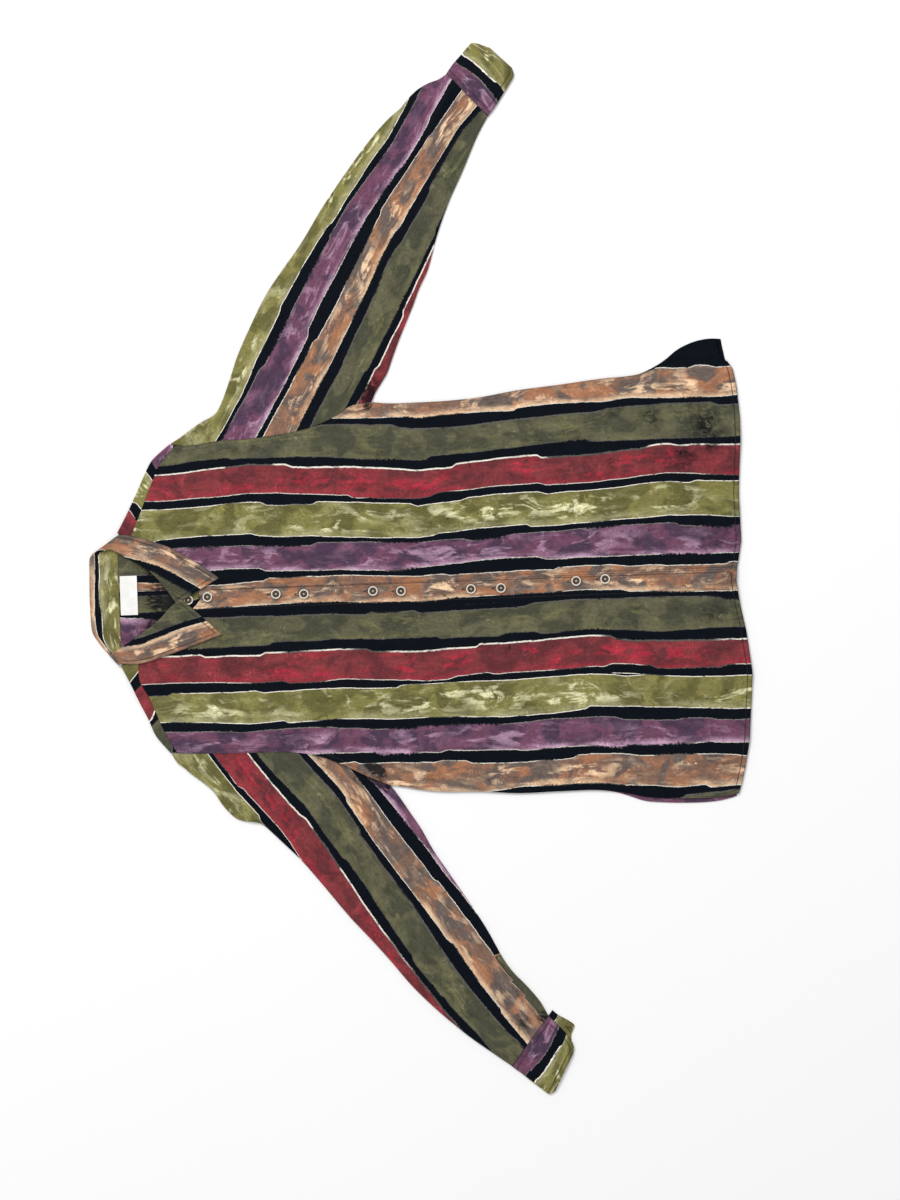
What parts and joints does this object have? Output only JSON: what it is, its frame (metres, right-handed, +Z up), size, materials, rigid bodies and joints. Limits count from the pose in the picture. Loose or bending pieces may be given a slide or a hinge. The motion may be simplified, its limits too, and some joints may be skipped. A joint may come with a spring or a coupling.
{
  "type": "striped shirt",
  "caption": "Loose long-sleeved button-up shirt with vertical stripes, a wide open collar and curved hem, laid flat with its front up.",
  "frame": {"origin": "centre of the shirt's plan box, on the table it lies on", "axes": "+X to the wearer's left sleeve, +Y from hem to collar, +Z up from the table to the front of the shirt"},
  "size_m": [1.2636, 0.7904, 0.0099],
  "materials": {
    "cloth_back": "light printed cloth, matt with a faint sheen",
    "cloth_yoke": "light printed cloth, matt with a faint sheen",
    "cloth_front_right": "light printed cloth, matt with a faint sheen",
    "cloth_front_left": "light printed cloth, matt with a faint sheen",
    "cloth_sleeve_left": "light printed cloth, matt with a faint sheen",
    "cloth_sleeve_right": "light printed cloth, matt with a faint sheen",
    "cloth_cuffs": "light printed cloth, matt with a faint sheen",
    "cloth_stand": "light printed cloth, matt with a faint sheen",
    "cloth_collar": "light printed cloth, matt with a faint sheen",
    "label": "plain woven satin",
    "buttons": "glossy with a dark recessed middle"
  },
  "bodies": {
    "root": {"back": "cloth_back", "yoke": "cloth_yoke", "front_right": "cloth_front_right", "front_left": "cloth_front_left", "sleeve_left": "cloth_sleeve_left", "sleeve_right": "cloth_sleeve_right", "cuff_left": "cloth_cuffs", "cuff_right": "cloth_cuffs", "collar_stand": "cloth_stand", "collar_leaf": "cloth_collar", "neck_label": "label", "button_01": "buttons", "button_02": "buttons", "button_03": "buttons", "button_04": "buttons", "button_05": "buttons", "button_06": "buttons", "button_07": "buttons", "button_08": "buttons", "button_09": "buttons", "button_10": "buttons"}
  },
  "joints": []
}
